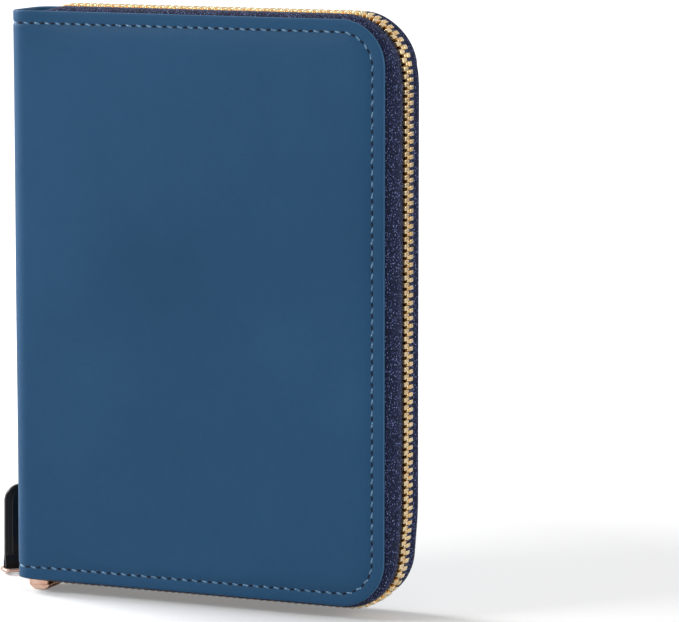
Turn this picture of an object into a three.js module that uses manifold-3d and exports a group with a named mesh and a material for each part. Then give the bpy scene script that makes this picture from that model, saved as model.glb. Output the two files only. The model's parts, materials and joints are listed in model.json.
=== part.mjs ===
// A zip-around travel wallet, closed and standing on its bottom edge.
// Millimetres, +Z up. While it is built, x = 0 is the outside of the spine, y = 0 the plane of the
// zip and z = 0 the bottom edge of the covers. The front cover faces -Y.
import * as THREE from "three";
import { mergeVertices } from "three/addons/utils/BufferGeometryUtils.js";
import Module from "manifold-3d";

const wasm = await Module();
wasm.setup();

// Covers
const COVER_WIDTH = 106; // outside of the spine to the open edge
const COVER_HEIGHT = 150;
const THICKNESS = 20; // over both closed covers
const CORNER_RADIUS = 12; // open corners of the covers
const FOLD_RADIUS = 5; // outside of the two folds beside the spine
const LEATHER = 1.1;
const PUFF = 0.7; // how far the padded field stands over the sewn border
const PUFF_SHOULDER = 0.85; // share of the puff half-way up the padded field's slope
const EDGE_ROUND = 0.35; // rounding of the cut edge
const BORDER = 5; // sewn border, edge to the foot of the padded field
const FIELD_INSET = 8; // edge to the flat top of the padded field

// Seam round the covers
const STITCH_INSET = 3; // edge to the line of stitches
const THREAD_WIDTH = 0.5;
const THREAD_RISE = 0.3; // how far the thread stands over the border
const GROOVE_WIDTH = 0.9;
const GROOVE_DEPTH = 0.25;

// Layers between leather and lining
const LAYER_GAP = 0.05; // air between two flat layers
const FOAM = 0.75;
const FOAM_INSET = 8.5;
const BOARD = 0.9;
const BOARD_INSET = 6.5;
const BOARD_CORNER = 2; // corners of boards, foam and pockets beside the spine
const SPINE_BOARD_WIDTH = 9;
const LINING = 0.4;
const LINING_INSET = 1.2;

// Pockets
const LEAF = 0.5; // thickness of a pocket's leaf
const LEAF_INSET = 8; // open edges of the covers to the leaves
const LEAF_START = 6; // outside of the spine to the leaves
const SLIP_POCKET_TOP = 118;
const CARD_POCKET_TOP = 100; // of the rearmost of the stepped card pockets
const CARD_STEP = 18;
const CARD_POCKETS = 4;
const SLEEVE_START = 24; // mouth of the passport sleeve
const TICKET_POCKET_LOW = 52;
const TICKET_POCKET_HIGH = 84;

// Zip tape
const TAPE = 0.6;
const TAPE_LAP = 6; // how far the tape reaches in under the border
const TAPE_RISE = 0.55; // the tape's middle over the covers' edge, beside the teeth
const TAPE_GAP = 0.06; // tape to teeth
const TAPE_FLAT_END = 1.6; // from the covers' edge in to where the tape starts to bend
const TAPE_BEND = [0.4, 0.5]; // the bend's first step: towards the zip's plane, and below the edge
const TAPE_EXIT = 1.3; // how far towards the zip's plane the tape has come at the edge
const ZIP_START = 5.5; // outside of the spine to the chain's upper end
const ZIP_END = 5.5; // outside of the spine to the chain's lower end
const DIP = 3.5; // how far the upper end sinks in between the covers
const DIP_LENGTH = 9;

// Zip teeth: heights are counted outward from the covers' edge
const TOOTH_PITCH = 1.96;
const TOOTH_NOTCH = 0.62; // mouth of the gap between two teeth
const TOOTH_CROWN = 2;
const TOOTH_ROOT = 0.9;
const CHAIN_INSIDE = -0.6;
const CHAIN_MIDDLE = 0.7;
const ROW_WIDTH = 2.85;
const ROW_GAP = 0.3; // between the two rows
const TOOTH_START = 0.2; // the chain's upper end to the front row's first tooth
const STOP_LENGTH = 1.2;
const STOP_WIDTH = 0.8; // share of the rows' width that the end stop covers

// Slider
const SLIDER_START = 0.8; // outside of the spine to the slider's nose
const SLIDER_LENGTH = 7.5;
const SLIDER_WIDTH = 8.6;
const SLIDER_CORNER = 1.4;
const SLIDER_PLATE = 1;
const SLIDER_CLEAR = 0.3; // plates to teeth, and flanges to tape
const FLANGE = 0.95;
const INNER_PLATE_START = 3.75; // clears the lining at the spine
const POST_LENGTH = 1.1;
const POST_WIDTH = 1.6;
const POST_GAP = 0.2; // post to the chain's lower end
const CAP_HEIGHT = 0.6;
const CAP_LENGTH = 5;
const CAP_WIDTH = 6;

// Pull, with its eye on the slider's pin
const PULL_ANGLE = 134; // degrees from +X to the pull, seen from above
const PIN_AHEAD = 3.95; // the pin's place, along the pull from x = 0, y = 0
const PIN_ASIDE = 2.9; // and across the pull, towards the back cover
const PIN_DROP = 2.65; // below the covers' edge
const PIN_RADIUS = 0.4;
const PIN_CLEAR = 0.15;
const EYE_RADIUS = 0.9;
const EYE_WIDTH = 1.9;
const LUG = 0.6;
const LUG_REACH = 0.8; // lug past the pin
const LUG_ROOT = 2.3; // lug from the pin back into the slider's plate
const LUG_HEIGHT = 1.1;
const PULL_THICKNESS = 0.9;
const TONGUE_WIDTH = 4.4;
const TONGUE_START = 1.7;
const TONGUE_END = 10;
const RING_WIDTH = 12;
const RING_BAR = 1.3;
const RING_SLOT = 3;
const RING_ROD = 0.43; // radius of the far bar, which is round so that the strap can swing

// Strap, folded round the ring's far bar
const STRAP_WIDTH = 9;
const STRAP_PLY = 0.62;
const STRAP_LENGTH = 23; // from the bar's middle to the rounded end
const STRAP_CLEAR = 0.15; // fold to bar
const STRAP_JOIN = 3; // over the bar, where the two plies meet
const STRAP_LEAN = 2; // degrees towards the covers

const EMBED = 0.1; // overlap of two shapes that are joined into one solid

const ARC_STEPS = 6;
const FOLD_STEPS = 5;
const ROUND_STEPS = 16; // sides of pins, bores and bars

const material = (color, roughness, metalness = 0) =>
  new THREE.MeshStandardMaterial({ color, roughness, metalness });
const BLUE_LEATHER = [0x2f5273, 0.6];
const NAVY_THREAD = [0x6f95bd, 0.8];
const NAVY_TAPE = [0x262a52, 0.9];
const GOLD = [0xebc88c, 0.3, 1];
const ROSE_GOLD = [0xe6b9a0, 0.25, 1];
const BLACK_LEATHER = [0x19191b, 0.4];
const NAVY_LINING = [0x2b3550, 0.85];
const GREY_BOARD = [0x8f8a80, 0.95];
const WHITE_FOAM = [0xe8e6df, 0.95];

const model = new THREE.Group();

function place(parent, name, geometry, look) {
  const mesh = new THREE.Mesh(geometry, material(...look));
  mesh.name = name;
  parent.add(mesh);
  return mesh;
}

// Booleans
function toSolid(geometry) {
  const bare = geometry.clone();
  bare.deleteAttribute("normal");
  bare.deleteAttribute("uv");
  const merged = mergeVertices(bare, 1e-4);
  return new wasm.Manifold(
    new wasm.Mesh({
      numProp: 3,
      vertProperties: new Float32Array(merged.attributes.position.array),
      triVerts: new Uint32Array(merged.index.array),
    }),
  );
}

function fromSolid(solid) {
  const mesh = solid.getMesh();
  const geometry = new THREE.BufferGeometry();
  geometry.setAttribute("position", new THREE.BufferAttribute(mesh.vertProperties, 3));
  geometry.setIndex(new THREE.BufferAttribute(mesh.triVerts, 1));
  geometry.computeVertexNormals();
  return geometry;
}

function union(geometries) {
  return geometries.map(toSolid).reduce((all, next) => all.add(next));
}

function surface(points, faces) {
  const geometry = new THREE.BufferGeometry();
  geometry.setAttribute("position", new THREE.Float32BufferAttribute(points.flat(), 3));
  geometry.setIndex(faces.flat());
  geometry.computeVertexNormals();
  return geometry;
}

// Plain solids
function box(low, high) {
  const size = high.map((value, axis) => value - low[axis]);
  const middle = high.map((value, axis) => (value + low[axis]) / 2);
  return new THREE.BoxGeometry(...size).translate(...middle);
}

// A flat panel in the XZ plane between two depths, with round corners: spine side, open side.
function panel([left, right, bottom, top], [near, far], spineCorner, openCorner, slant = 0) {
  const shape = new THREE.Shape();
  shape.moveTo(left + spineCorner, bottom);
  shape.lineTo(right - openCorner, bottom);
  shape.absarc(right - openCorner, bottom + openCorner, openCorner, -Math.PI / 2, 0);
  shape.lineTo(right, top - openCorner);
  shape.absarc(right - openCorner, top - openCorner, openCorner, 0, Math.PI / 2);
  shape.lineTo(left + spineCorner, top - slant);
  shape.absarc(left + spineCorner, top - slant - spineCorner, spineCorner, Math.PI / 2, Math.PI);
  shape.lineTo(left, bottom + spineCorner);
  shape.absarc(left + spineCorner, bottom + spineCorner, spineCorner, Math.PI, 1.5 * Math.PI);
  const geometry = new THREE.ExtrudeGeometry(shape, {
    depth: far - near,
    bevelEnabled: false,
    curveSegments: ARC_STEPS,
  });
  return geometry.rotateX(Math.PI / 2).translate(0, far, 0);
}

// The same depth range on the front (side = -1) or on the back (side = 1), counted from the outside.
function depths(side, outer, inner) {
  const reach = [side * (THICKNESS / 2 - outer), side * (THICKNESS / 2 - inner)];
  return reach.sort((a, b) => a - b);
}

// A sheet wrapped round front, spine and back. Its datum face lies at one depth from the outside.
// s runs along the sheet from the front's open edge, and height is counted outward from the datum.
function wrap(depth) {
  const radius = FOLD_RADIUS - depth;
  const flat = COVER_WIDTH - FOLD_RADIUS;
  const bend = (Math.PI / 2) * radius;
  const spine = THICKNESS - 2 * FOLD_RADIUS;
  const half = THICKNESS / 2 - depth;
  const starts = [flat, flat + bend, flat + bend + spine, flat + 2 * bend + spine];
  const place3 = (s, height) => {
    if (s <= starts[0]) return [COVER_WIDTH - s, -half - height];
    if (s <= starts[1]) {
      const turn = (s - starts[0]) / radius;
      const reach = radius + height;
      return [FOLD_RADIUS - reach * Math.sin(turn), radius - half - reach * Math.cos(turn)];
    }
    if (s <= starts[2]) return [depth - height, radius - half + s - starts[1]];
    if (s <= starts[3]) {
      const turn = (s - starts[2]) / radius;
      const reach = radius + height;
      return [FOLD_RADIUS - reach * Math.cos(turn), half - radius + reach * Math.sin(turn)];
    }
    return [FOLD_RADIUS + s - starts[3], half + height];
  };
  const columns = [];
  for (let i = 0; i <= FOLD_STEPS; i++) columns.push(starts[0] + (bend * i) / FOLD_STEPS);
  for (let i = 0; i <= FOLD_STEPS; i++) columns.push(starts[2] + (bend * i) / FOLD_STEPS);
  return { length: starts[3] + flat, columns, place3 };
}

// One ring of points of a wrapped sheet, at one inset from its outline: the upper half, then the lower.
function sheetRing(sheet, inset, height) {
  const centre = CORNER_RADIUS;
  const reach = CORNER_RADIUS - inset;
  const upper = [];
  for (let i = 0; i <= ARC_STEPS; i++) {
    const angle = (Math.PI / 2) * (i / ARC_STEPS);
    upper.push([centre - reach * Math.cos(angle), reach * Math.sin(angle) - centre]);
  }
  sheet.columns.forEach((s) => upper.push([s, -inset]));
  for (let i = ARC_STEPS; i >= 0; i--) {
    const angle = (Math.PI / 2) * (i / ARC_STEPS);
    upper.push([sheet.length - centre + reach * Math.cos(angle), reach * Math.sin(angle) - centre]);
  }
  const at = ([s, z]) => {
    const [x, y] = sheet.place3(s, height);
    return [x, y, z];
  };
  const top = upper.map(([s, drop]) => at([s, COVER_HEIGHT + drop]));
  const bottom = upper.map(([s, drop]) => at([s, -drop])).reverse();
  return [...top, ...bottom];
}

// A closed sheet from rings that run from the inner face, round the cut edge, to the outer face.
// With closed set, the rings join up instead and make a cord along the outline.
function wrappedSheet(depth, profile, closed = false) {
  const sheet = wrap(depth);
  const rings = profile.map(([inset, height]) => sheetRing(sheet, inset, height));
  const count = rings[0].length;
  const faces = [];
  const quad = (a, b, c, d) => faces.push([a, b, c], [a, c, d]);
  const bands = closed ? rings.length : rings.length - 1;
  for (let r = 0; r < bands; r++) {
    const next = ((r + 1) % rings.length) * count;
    for (let k = 0; k < count; k++) {
      const after = (k + 1) % count;
      quad(r * count + k, r * count + after, next + after, next + k);
    }
  }
  if (!closed) {
    const last = (rings.length - 1) * count;
    for (let i = 0; i < count / 2 - 1; i++) {
      const mirror = count - 1 - i;
      quad(i, mirror, mirror - 1, i + 1);
      quad(last + i, last + i + 1, last + mirror - 1, last + mirror);
    }
  }
  return surface(rings.flat(), faces);
}

// The run of the zip round the open edges, measured along the chain's middle from the upper end.
const cornerLeg = (Math.PI / 2) * (CORNER_RADIUS + CHAIN_MIDDLE);
const topLeg = COVER_WIDTH - CORNER_RADIUS - ZIP_START;
const sideLeg = COVER_HEIGHT - 2 * CORNER_RADIUS;
const bottomLeg = COVER_WIDTH - CORNER_RADIUS - ZIP_END;
const legEnds = [topLeg, topLeg + cornerLeg, topLeg + cornerLeg + sideLeg];
legEnds.push(legEnds[2] + cornerLeg);
const runLength = legEnds[3] + bottomLeg;

function dipAt(s) {
  const share = Math.min(1, s / DIP_LENGTH);
  return DIP * (1 - share * share * (3 - 2 * share));
}

// A point of the run: outward is its height over the covers' edge, and share says how much of the dip
// it follows.
function runPoint(s, outward, share = 1) {
  const out = outward - share * dipAt(s);
  const right = COVER_WIDTH - CORNER_RADIUS;
  const reach = CORNER_RADIUS + out;
  if (s <= legEnds[0]) return [ZIP_START + s, COVER_HEIGHT + out];
  if (s <= legEnds[1]) {
    const angle = (Math.PI / 2) * (1 - (s - legEnds[0]) / cornerLeg);
    const top = COVER_HEIGHT - CORNER_RADIUS;
    return [right + reach * Math.cos(angle), top + reach * Math.sin(angle)];
  }
  if (s <= legEnds[2]) return [COVER_WIDTH + out, COVER_HEIGHT - CORNER_RADIUS - (s - legEnds[1])];
  if (s <= legEnds[3]) {
    const angle = (Math.PI / 2) * ((s - legEnds[2]) / cornerLeg);
    return [right + reach * Math.cos(angle), CORNER_RADIUS - reach * Math.sin(angle)];
  }
  return [right - (s - legEnds[3]), -out];
}

function runStations() {
  const stations = [];
  for (let i = 0; i < 5; i++) stations.push((DIP_LENGTH * i) / 5);
  stations.push(DIP_LENGTH);
  for (let i = 0; i <= ARC_STEPS; i++) stations.push(legEnds[0] + (cornerLeg * i) / ARC_STEPS);
  for (let i = 0; i <= ARC_STEPS; i++) stations.push(legEnds[2] + (cornerLeg * i) / ARC_STEPS);
  stations.push(runLength);
  return stations;
}

function outerCover() {
  const puffed = LEATHER + PUFF;
  return wrappedSheet(puffed, [
    [FIELD_INSET, PUFF],
    [BORDER, 0],
    [EDGE_ROUND, 0],
    [0, EDGE_ROUND],
    [0, LEATHER - EDGE_ROUND],
    [EDGE_ROUND, LEATHER],
    [STITCH_INSET - GROOVE_WIDTH / 2, LEATHER],
    [STITCH_INSET, LEATHER - GROOVE_DEPTH],
    [STITCH_INSET + GROOVE_WIDTH / 2, LEATHER],
    [BORDER, LEATHER + PUFF / 2],
    [(BORDER + FIELD_INSET) / 2, LEATHER + PUFF_SHOULDER * PUFF],
    [FIELD_INSET, puffed],
  ]);
}

function seamThread() {
  const side = THREAD_WIDTH / 2;
  return wrappedSheet(
    LEATHER + PUFF,
    [
      [STITCH_INSET, LEATHER - GROOVE_DEPTH + LAYER_GAP],
      [STITCH_INSET - side, LEATHER + LAYER_GAP],
      [STITCH_INSET, LEATHER + THREAD_RISE],
      [STITCH_INSET + side, LEATHER + LAYER_GAP],
    ],
    true,
  );
}

// Depths from the outside, layer by layer
const foamDepth = LEATHER + LAYER_GAP;
const boardDepth = foamDepth + FOAM + LAYER_GAP;
const liningDepth = boardDepth + BOARD + LAYER_GAP;
const leafDepth = liningDepth + LINING + LAYER_GAP;

function lining() {
  return wrappedSheet(liningDepth + LINING, [
    [LINING_INSET + LINING, 0],
    [LINING_INSET, 0],
    [LINING_INSET, LINING],
    [LINING_INSET + LINING, LINING],
  ]);
}

function coverLayer(side, inset, outer, thickness) {
  const reach = [FOLD_RADIUS, COVER_WIDTH - inset, inset, COVER_HEIGHT - inset];
  const openCorner = Math.max(BOARD_CORNER, CORNER_RADIUS - inset);
  return panel(reach, depths(side, outer, outer + thickness), BOARD_CORNER, openCorner);
}

function spineBoard() {
  const half = SPINE_BOARD_WIDTH / 2;
  const outside = LEATHER + PUFF + LAYER_GAP;
  return box(
    [outside, -half, BOARD_INSET],
    [Math.min(outside + BOARD, liningDepth - LAYER_GAP), half, COVER_HEIGHT - BOARD_INSET],
  );
}

// A leaf of a pocket, counted from the lining inward
function leaf(side, number, start, top, slant = 0) {
  const outer = leafDepth + number * (LEAF + LAYER_GAP);
  const reach = [start, COVER_WIDTH - LEAF_INSET, LEAF_INSET, top];
  const openCorner = CORNER_RADIUS - LEAF_INSET;
  return panel(reach, depths(side, outer, outer + LEAF), BOARD_CORNER, openCorner, slant);
}

// The tape's middle line, from under the border to the teeth: distance from the zip's plane, height
// over the covers' edge, and whether it follows the dip
function tapeLine() {
  const teeth = ROW_GAP / 2 + ROW_WIDTH + TAPE_GAP;
  const lap = THICKNESS / 2 - LEATHER - PUFF - LAYER_GAP - TAPE / 2;
  return [
    [lap, -TAPE_LAP, 0],
    [lap, -TAPE_FLAT_END, 0],
    [lap - TAPE_BEND[0], -TAPE_BEND[1], 0],
    [lap - TAPE_EXIT, TAPE_RISE / 3, 0],
    [SLIDER_WIDTH / 2 + SLIDER_CLEAR, TAPE_RISE, 1],
    [teeth, TAPE_RISE, 1],
  ];
}

function ribbonOutline(line, thickness) {
  const offset = (index, sign) => {
    const before = line[Math.max(0, index - 1)];
    const after = line[Math.min(line.length - 1, index + 1)];
    const along = new THREE.Vector2(after[0] - before[0], after[1] - before[1]).normalize();
    const half = (sign * thickness) / 2;
    return [line[index][0] - along.y * half, line[index][1] + along.x * half, line[index][2]];
  };
  const there = line.map((_, index) => offset(index, 1));
  const back = line.map((_, index) => offset(index, -1)).reverse();
  return [...there, ...back];
}

function tape(side) {
  const outline = ribbonOutline(tapeLine(), TAPE);
  const stations = runStations();
  const count = outline.length;
  const points = stations.flatMap((s) =>
    outline.map(([across, height, share]) => {
      const [x, z] = runPoint(s, height, share);
      return [x, side * across, z];
    }),
  );
  const faces = [];
  const quad = (a, b, c, d) => faces.push([a, b, c], [a, c, d]);
  for (let r = 0; r < stations.length - 1; r++)
    for (let k = 0; k < count; k++) {
      const after = (k + 1) % count;
      quad(r * count + k, (r + 1) * count + k, (r + 1) * count + after, r * count + after);
    }
  const last = (stations.length - 1) * count;
  for (let k = 0; k < count / 2 - 1; k++) {
    const mirror = count - 1 - k;
    quad(k, k + 1, mirror - 1, mirror);
    quad(last + k, last + mirror, last + mirror - 1, last + k + 1);
  }
  if (side < 0) faces.forEach((face) => face.reverse());
  return surface(points, faces);
}

// A row of teeth: a comb-shaped outline along the run, extruded across the row
function teeth(side, phase) {
  const count = Math.floor((runLength - phase) / TOOTH_PITCH);
  const outline = [runPoint(0, TOOTH_ROOT)];
  for (let i = 0; i < count; i++) {
    const start = phase + i * TOOTH_PITCH;
    outline.push(runPoint(start + TOOTH_NOTCH / 2, TOOTH_CROWN));
    outline.push(runPoint(start + TOOTH_PITCH - TOOTH_NOTCH / 2, TOOTH_CROWN));
    outline.push(runPoint(start + TOOTH_PITCH, TOOTH_ROOT));
  }
  runStations()
    .reverse()
    .forEach((s) => outline.push(runPoint(s, CHAIN_INSIDE)));
  const shape = new THREE.Shape(outline.map(([x, z]) => new THREE.Vector2(x, z)));
  const near = side > 0 ? ROW_GAP / 2 : -ROW_GAP / 2 - ROW_WIDTH;
  return new THREE.ExtrudeGeometry(shape, { depth: ROW_WIDTH, bevelEnabled: false })
    .rotateX(Math.PI / 2)
    .translate(0, near + ROW_WIDTH, 0);
}

// Stops: one across both rows at the upper end, one beside the slider's post on each row
function endStop() {
  const half = ROW_GAP / 2 + ROW_WIDTH * STOP_WIDTH;
  const top = COVER_HEIGHT - DIP;
  return box(
    [ZIP_START - LAYER_GAP - STOP_LENGTH, -half, top + CHAIN_INSIDE],
    [ZIP_START - LAYER_GAP, half, top + TOOTH_CROWN],
  );
}

function topStop(side) {
  const near = POST_WIDTH / 2 + SLIDER_CLEAR;
  const far = ROW_GAP / 2 + ROW_WIDTH;
  const [low, high] = [side * near, side * far].sort((a, b) => a - b);
  return box(
    [ZIP_END - LAYER_GAP - STOP_LENGTH, low, -TOOTH_CROWN],
    [ZIP_END - LAYER_GAP, high, -CHAIN_INSIDE],
  );
}

// Slider: two plates joined by a post, with flanges, a cap, and two lugs that carry the pin
const plateTop = -TOOTH_CROWN - SLIDER_CLEAR;
const plateBottom = plateTop - SLIDER_PLATE;
const innerPlateBottom = -CHAIN_INSIDE + SLIDER_CLEAR;
const sliderEnd = SLIDER_START + SLIDER_LENGTH;

function sliderPlate(start, bottom, top) {
  const half = SLIDER_WIDTH / 2;
  const corner = SLIDER_CORNER;
  const shape = new THREE.Shape();
  shape.moveTo(start + corner, -half);
  shape.lineTo(sliderEnd - corner, -half);
  shape.absarc(sliderEnd - corner, corner - half, corner, -Math.PI / 2, 0);
  shape.lineTo(sliderEnd, half - corner);
  shape.absarc(sliderEnd - corner, half - corner, corner, 0, Math.PI / 2);
  shape.lineTo(start + corner, half);
  shape.absarc(start + corner, half - corner, corner, Math.PI / 2, Math.PI);
  shape.lineTo(start, corner - half);
  shape.absarc(start + corner, corner - half, corner, Math.PI, 1.5 * Math.PI);
  return new THREE.ExtrudeGeometry(shape, {
    depth: top - bottom,
    bevelEnabled: false,
    curveSegments: 4,
  }).translate(0, 0, bottom);
}

function flanges(start, side, low, high) {
  const half = SLIDER_WIDTH / 2;
  const [near, far] = [side * (half - FLANGE), side * half].sort((a, b) => a - b);
  return box([start + SLIDER_CORNER, near, low], [sliderEnd - SLIDER_CORNER, far, high]);
}

// Places a piece that is built along the pull at the slider's pin
const pullTurn = THREE.MathUtils.degToRad(PULL_ANGLE);
const along = new THREE.Vector2(Math.cos(pullTurn), Math.sin(pullTurn));
const pinPoint = new THREE.Vector3(
  along.x * PIN_AHEAD + along.y * PIN_ASIDE,
  along.y * PIN_AHEAD - along.x * PIN_ASIDE,
  -PIN_DROP,
);

function atPin(geometry) {
  return geometry.rotateZ(pullTurn).translate(pinPoint.x, pinPoint.y, pinPoint.z);
}

function lug(side) {
  const inner = EYE_WIDTH / 2 + PIN_CLEAR;
  const [near, far] = [side * inner, side * (inner + LUG)].sort((a, b) => a - b);
  const half = LUG_HEIGHT / 2;
  return atPin(box([-LUG_ROOT, near, -half], [LUG_REACH, far, half]));
}

function slider() {
  const capMiddle = SLIDER_START + SLIDER_LENGTH / 2;
  const tapeLow = -TAPE_RISE - TAPE / 2 - SLIDER_CLEAR;
  const tapeHigh = -TAPE_RISE + TAPE / 2 + SLIDER_CLEAR;
  const pin = new THREE.CylinderGeometry(PIN_RADIUS, PIN_RADIUS, EYE_WIDTH + 2 * LUG, 12);
  return fromSolid(
    union([
      sliderPlate(SLIDER_START, plateBottom, plateTop),
      sliderPlate(INNER_PLATE_START, innerPlateBottom, innerPlateBottom + SLIDER_PLATE),
      box(
        [ZIP_END - POST_GAP - POST_LENGTH, -POST_WIDTH / 2, plateTop - EMBED],
        [ZIP_END - POST_GAP, POST_WIDTH / 2, innerPlateBottom + EMBED],
      ),
      box(
        [capMiddle - CAP_LENGTH / 2, -CAP_WIDTH / 2, plateBottom - CAP_HEIGHT],
        [capMiddle + CAP_LENGTH / 2, CAP_WIDTH / 2, plateBottom + EMBED],
      ),
      ...[-1, 1].flatMap((side) => [
        flanges(SLIDER_START, side, plateTop - EMBED, tapeLow),
        flanges(INNER_PLATE_START, side, tapeHigh, innerPlateBottom + EMBED),
        lug(side),
      ]),
      atPin(pin),
    ]),
  );
}

// Pull: an eye on the pin, a tongue, and a ring for the strap, built along +X from the pin. The
// ring's far side is a round bar between two rails.
const ringStart = TONGUE_END;
const barMiddle = ringStart + RING_BAR + RING_SLOT + RING_BAR / 2;

function flatPlate(reach, thickness) {
  const [low, high, width] = reach;
  return box([low, -width / 2, -thickness / 2], [high, width / 2, thickness / 2]);
}

function pull() {
  const eye = new THREE.CylinderGeometry(EYE_RADIUS, EYE_RADIUS, EYE_WIDTH, ROUND_STEPS);
  const boreRadius = PIN_RADIUS + PIN_CLEAR;
  const bore = new THREE.CylinderGeometry(boreRadius, boreRadius, 2 * EYE_WIDTH, ROUND_STEPS);
  const rod = new THREE.CylinderGeometry(RING_ROD, RING_ROD, RING_WIDTH - EMBED, ROUND_STEPS);
  const ringEnd = ringStart + 2 * RING_BAR + RING_SLOT;
  const slotHalf = RING_WIDTH / 2 - RING_BAR;
  const slot = box(
    [ringStart + RING_BAR, -slotHalf, -PULL_THICKNESS],
    [ringEnd + RING_BAR, slotHalf, PULL_THICKNESS],
  );
  const plates = union([
    eye,
    flatPlate([0, TONGUE_START + EMBED, EYE_WIDTH], PULL_THICKNESS),
    flatPlate([TONGUE_START, ringStart + EMBED, TONGUE_WIDTH], PULL_THICKNESS),
    flatPlate([ringStart, ringEnd, RING_WIDTH], PULL_THICKNESS),
  ]);
  const open = plates.subtract(toSolid(bore)).subtract(toSolid(slot));
  return fromSolid(open.add(toSolid(rod.translate(barMiddle, 0, 0))));
}

// Strap: two plies folded round the bar, closed above it, with a round end. Its origin is the bar.
function foldOutline(radius, above) {
  const shape = new THREE.Shape();
  shape.absarc(0, 0, radius, Math.PI, 2 * Math.PI);
  above.forEach(([x, z]) => shape.lineTo(x, z));
  return shape;
}

function acrossStrap(shape, width) {
  const settings = { depth: width, bevelEnabled: false, curveSegments: ROUND_STEPS };
  const geometry = new THREE.ExtrudeGeometry(shape, settings);
  return geometry.rotateX(Math.PI / 2).translate(0, width / 2, 0);
}

function strap() {
  const hole = RING_ROD + STRAP_CLEAR;
  const outside = hole + STRAP_PLY;
  const plies = [
    [STRAP_PLY, STRAP_JOIN],
    [STRAP_PLY, STRAP_LENGTH],
    [-STRAP_PLY, STRAP_LENGTH],
    [-STRAP_PLY, STRAP_JOIN],
  ];
  const band = toSolid(acrossStrap(foldOutline(outside, plies), STRAP_WIDTH));
  const cut = toSolid(acrossStrap(foldOutline(hole, [[0, STRAP_JOIN]]), 2 * STRAP_WIDTH));
  const round = STRAP_WIDTH / 2;
  const face = new THREE.Shape();
  face.moveTo(-round, -2 * outside);
  face.lineTo(round, -2 * outside);
  face.lineTo(round, STRAP_LENGTH - round);
  face.absarc(0, STRAP_LENGTH - round, round, 0, Math.PI);
  const faceBlock = acrossStrap(face, 4 * outside).rotateZ(Math.PI / 2);
  return fromSolid(band.subtract(cut).intersect(toSolid(faceBlock)));
}

function addCovers() {
  place(model, "outer_cover", outerCover(), BLUE_LEATHER);
  place(model, "seam_thread", seamThread(), NAVY_THREAD);
  place(model, "lining", lining(), NAVY_LINING);
  place(model, "spine_board", spineBoard(), GREY_BOARD);
  [
    ["front", -1],
    ["back", 1],
  ].forEach(([name, side]) => {
    place(model, `${name}_foam`, coverLayer(side, FOAM_INSET, foamDepth, FOAM), WHITE_FOAM);
    place(model, `${name}_board`, coverLayer(side, BOARD_INSET, boardDepth, BOARD), GREY_BOARD);
  });
}

function addPockets() {
  place(model, "slip_pocket", leaf(-1, 0, LEAF_START, SLIP_POCKET_TOP), BLUE_LEATHER);
  for (let i = 0; i < CARD_POCKETS; i++) {
    const top = CARD_POCKET_TOP - i * CARD_STEP;
    place(model, `card_pocket_${i + 1}`, leaf(-1, i + 1, LEAF_START, top), BLUE_LEATHER);
  }
  const sleeve = leaf(1, 0, SLEEVE_START, COVER_HEIGHT - LEAF_INSET);
  place(model, "passport_sleeve", sleeve, BLUE_LEATHER);
  const slant = TICKET_POCKET_HIGH - TICKET_POCKET_LOW;
  const ticket = leaf(1, 1, LEAF_START, TICKET_POCKET_HIGH, slant);
  place(model, "ticket_pocket", ticket, BLUE_LEATHER);
}

function addZip() {
  [
    ["front", -1, TOOTH_START],
    ["back", 1, TOOTH_START + TOOTH_PITCH / 2],
  ].forEach(([name, side, phase]) => {
    place(model, `${name}_tape`, tape(side), NAVY_TAPE);
    place(model, `${name}_teeth`, teeth(side, phase), GOLD);
    place(model, `${name}_top_stop`, topStop(side), GOLD);
  });
  place(model, "end_stop", endStop(), GOLD);
  place(model, "slider", slider(), ROSE_GOLD);
}

function addPull() {
  const swing = new THREE.Group();
  swing.position.copy(pinPoint);
  swing.rotation.z = pullTurn;
  model.add(swing);
  place(swing, "pull", pull(), ROSE_GOLD);
  const hung = place(swing, "strap", strap(), BLACK_LEATHER);
  hung.position.x = barMiddle;
  hung.rotation.y = THREE.MathUtils.degToRad(-STRAP_LEAN);
}

addCovers();
addPockets();
addZip();
addPull();

// The part's origin is the middle of its box, on the surface that it stands on.
const reach = new THREE.Box3().setFromObject(model, true);
const part = new THREE.Group();
model.position.set(
  -(reach.min.x + reach.max.x) / 2,
  -(reach.min.y + reach.max.y) / 2,
  -reach.min.z,
);
part.add(model);

export default part;
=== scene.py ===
"""Dresses a zip-around travel wallet: padded leather covers, seam, zip, slider, pull and strap."""

import json
import logging
import math
import random
from dataclasses import dataclass
from enum import Enum
from functools import cached_property

import bpy
import numpy as np
from mathutils import Matrix, Vector


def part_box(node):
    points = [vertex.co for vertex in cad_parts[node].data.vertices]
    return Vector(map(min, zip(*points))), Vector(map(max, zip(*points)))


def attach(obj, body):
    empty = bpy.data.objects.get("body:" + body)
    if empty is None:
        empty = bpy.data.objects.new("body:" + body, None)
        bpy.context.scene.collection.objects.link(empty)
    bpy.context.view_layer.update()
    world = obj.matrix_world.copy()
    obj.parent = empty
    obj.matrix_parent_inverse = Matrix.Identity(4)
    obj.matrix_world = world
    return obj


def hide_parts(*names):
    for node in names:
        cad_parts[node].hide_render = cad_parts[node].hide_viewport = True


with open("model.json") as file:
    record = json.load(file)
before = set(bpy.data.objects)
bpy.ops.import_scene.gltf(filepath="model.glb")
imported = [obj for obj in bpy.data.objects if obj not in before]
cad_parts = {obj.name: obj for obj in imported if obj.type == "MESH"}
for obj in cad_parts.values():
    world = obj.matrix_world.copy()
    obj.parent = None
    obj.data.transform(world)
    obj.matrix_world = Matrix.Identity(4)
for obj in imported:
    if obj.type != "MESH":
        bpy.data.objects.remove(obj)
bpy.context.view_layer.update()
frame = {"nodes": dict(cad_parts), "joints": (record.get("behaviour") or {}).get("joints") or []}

LOG = logging.getLogger("travel_wallet")
MM = 0.001
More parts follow.
